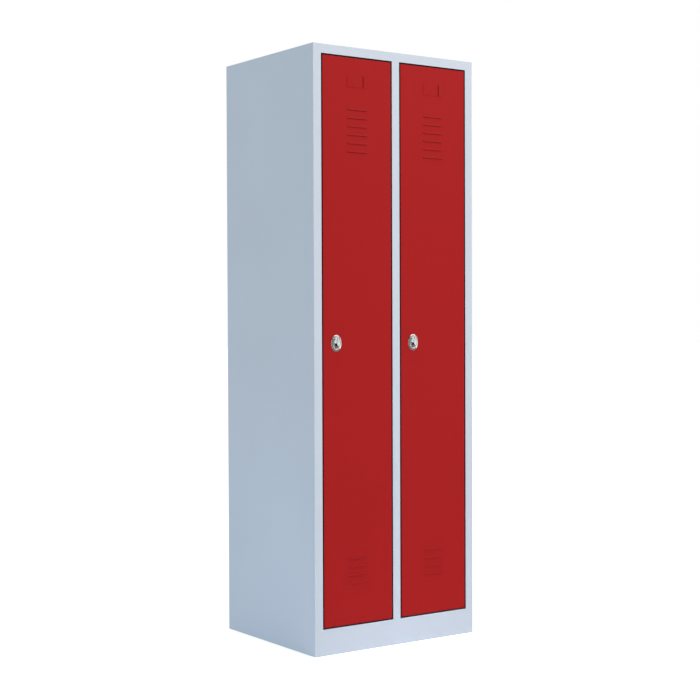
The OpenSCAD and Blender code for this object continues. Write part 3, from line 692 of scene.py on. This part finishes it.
def weld(bm, start, stop, side, bend):
    """A flush strip along a joint at the front: from start to stop, filling the bend on one side."""
    along = (stop - start).normalized()
    quarter = [math.radians(15 * k) for k in range(7)]
    path = [(bend * (1 - math.sin(a)), bend * (1 - math.cos(a))) for a in reversed(quarter)]
    length = (stop - start).length
    path += [(length - u, f) for u, f in reversed(path)]
    rings = []
    for u, f in path:
        at = start + along * u
        rings.append([at + Y * f, at + side * bend + Y * f, at + Y * (bend + 0.1 * MM)])
    caps = [[sum(r, Vector()) / 3] for r in (rings[0], rings[-1])]
    loft(bm, [caps[0], *rings, caps[1]])


def welds():
    """Header and plinth against the stiles, and the centre post against both."""
    bend = 1.6 * MM
    header_low, header_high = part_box("roof_panel")
    plinth_low, plinth_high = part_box("plinth_panel")
    post_low, post_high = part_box("centre_post")
    edge = -plinth_low.x
    post = POST_WIDTH / 2
    bm = bmesh.new()
    for s in (-1, 1):
        weld(bm, Vector((s * edge, FRONT_Y, post_high.z)), Vector((s * edge, FRONT_Y, header_high.z)),
             X * s, bend)
        weld(bm, Vector((s * edge, FRONT_Y, 0)), Vector((s * edge, FRONT_Y, post_low.z)), X * s, bend)
    weld(bm, Vector((-post, FRONT_Y, post_high.z)), Vector((post, FRONT_Y, post_high.z)), Z, bend)
    weld(bm, Vector((-post, FRONT_Y, post_low.z)), Vector((post, FRONT_Y, post_low.z)), -Z, bend)
    piece("ground_welds", bm, "grey_paint", "carcass")


welds()


# Stage: floor, light and camera

def background_share(nodes, links):
    """1 for rays that see the background directly, in a reflection or through glass."""
    path = nodes.new("ShaderNodeLightPath")
    total = path.outputs["Is Camera Ray"]
    for name in ("Is Glossy Ray", "Is Transmission Ray"):
        total = maths(nodes, links, "MAXIMUM", total, path.outputs[name])
    return total


def make_world():
    """White behind the object, and an even, slightly cool light from all round."""
    world = bpy.data.worlds.new("studio")
    world.use_nodes = True
    bpy.context.scene.world = world
    nodes, links = world.node_tree.nodes, world.node_tree.links
    fill = nodes["Background"]
    fill.inputs["Color"].default_value = (0.79, 0.90, 1.0, 1)
    fill.inputs["Strength"].default_value = 0.80
    white = nodes.new("ShaderNodeBackground")
    white.inputs["Color"].default_value = (1, 1, 1, 1)
    white.inputs["Strength"].default_value = 1.0
    mix = nodes.new("ShaderNodeMixShader")
    links.new(background_share(nodes, links), mix.inputs["Fac"])
    links.new(fill.outputs["Background"], mix.inputs[1])
    links.new(white.outputs["Background"], mix.inputs[2])
    links.new(mix.outputs["Shader"], nodes["World Output"].inputs["Surface"])


def flat(name, corners, material):
    """A single stage face."""
    mesh = bpy.data.meshes.new(name)
    mesh.from_pydata(corners, [], [(0, 1, 2, 3)])
    mesh.materials.append(material)
    made = bpy.data.objects.new(name, mesh)
    bpy.context.scene.collection.objects.link(made)
    return made


def make_floor():
    """A pale floor that shows as white, and keeps the object's shadow."""
    half = 40.0
    material, nodes, links, shader = new_material("pale_floor")
    shader.inputs["Base Color"].default_value = (0.86, 0.91, 0.96, 1)
    shader.inputs["Roughness"].default_value = 1.0
    shader.inputs["Specular IOR Level"].default_value = 0.0
    glow = nodes.new("ShaderNodeEmission")
    glow.inputs["Color"].default_value = (1.0, 0.9, 0.78, 1)
    links.new(product(nodes, links, background_share(nodes, links), 0.55), glow.inputs["Strength"])
    add = nodes.new("ShaderNodeAddShader")
    links.new(shader.outputs["BSDF"], add.inputs[0])
    links.new(glow.outputs["Emission"], add.inputs[1])
    links.new(add.outputs["Shader"], nodes["Material Output"].inputs["Surface"])
    flat("floor", [(-half, -half, 0), (half, -half, 0), (half, half, 0), (-half, half, 0)], material)


def make_card(name, corners, tone):
    """A card that only reflections see, so that chrome has tones to show."""
    material, nodes, links, _ = new_material(name)
    glow = nodes.new("ShaderNodeEmission")
    glow.inputs["Color"].default_value = tone
    links.new(glow.outputs["Emission"], nodes["Material Output"].inputs["Surface"])
    card = flat(name, corners, material)
    for kind in ("camera", "diffuse", "transmission", "volume_scatter", "shadow"):
        setattr(card, f"visible_{kind}", False)


def make_wall_card(name, start, stop, tone, low=CARD_LOW):
    """An upright card between two bearings, in degrees to the right of -Y."""
    near, far = [(CARD_REACH * math.sin(bearing), -CARD_REACH * math.cos(bearing))
                 for bearing in (math.radians(start), math.radians(stop))]
    make_card(name, [(*near, low), (*far, low), (*far, CARD_HIGH), (*near, CARD_HIGH)], tone)


def make_floor_card(name, near, far, tone):
    """A card lying just over the floor, between two corners."""
    z = 4 * MM
    (left, front), (right, back) = near, far
    make_card(name, [(left, front, z), (right, front, z), (right, back, z), (left, back, z)], tone)


def make_lamp(name, at, target, size, power, colour=(1, 1, 1), spread=180):
    """A square soft box at a point, aimed at another, with its light kept within a spread."""
    data = bpy.data.lights.new(name, "AREA")
    data.spread = math.radians(spread)
    data.shape = "SQUARE"
    data.size = size
    data.energy = power
    data.color = colour
    lamp = bpy.data.objects.new(name, data)
    bpy.context.scene.collection.objects.link(lamp)
    lamp.location = at
    lamp.visible_camera = False
    lamp.visible_glossy = False
    lamp.rotation_euler = (Vector(target) - Vector(at)).to_track_quat("-Z", "Y").to_euler()


def make_camera():
    """The photograph's camera."""
    data = bpy.data.cameras.new("camera")
    data.lens = CAMERA_LENS
    data.clip_end = 200.0
    camera = bpy.data.objects.new("camera", data)
    bpy.context.scene.collection.objects.link(camera)
    aim = (Matrix.Rotation(-CAMERA_HEADING, 4, "Z")
           @ Matrix.Rotation(math.radians(90) + CAMERA_PITCH, 4, "X")
           @ Matrix.Rotation(CAMERA_ROLL, 4, "Z"))
    camera.matrix_world = Matrix.Translation(CAMERA_AT) @ aim
    bpy.context.scene.camera = camera


make_world()
make_floor()
make_wall_card("card_left", -95, -80, DIM)
make_wall_card("card_front", -30, 14, SHADE)
make_wall_card("card_window_high", 14, 80, BRIGHT, low=2.1)
make_wall_card("card_right", 84, 100, DIM)
make_floor_card("card_floor_left", (-3.0, -2.2), (-0.45, -0.44), BLACK)
make_floor_card("card_floor_front", (-0.45, -4.6), (3.0, -0.3), SHADE)
make_lamp("key", (2.4, -5.3, 3.8), (0, 0, 0.9), 2.5, 160, (1.0, 0.93, 0.82))
make_lamp("floor_lamp", (0.0, -0.66, 2.8), (0.0, -0.50, 0), 0.36, 0.65, (0.62, 0.76, 1.0), spread=20)
make_lamp("side_lamp", (-1.1, -0.1, 0.28), (-0.3, 0.0, 0.05), 0.5, 0.24, (0.25, 0.62, 1.0), spread=110)
make_camera()
bpy.context.scene.view_settings.view_transform = "Standard"
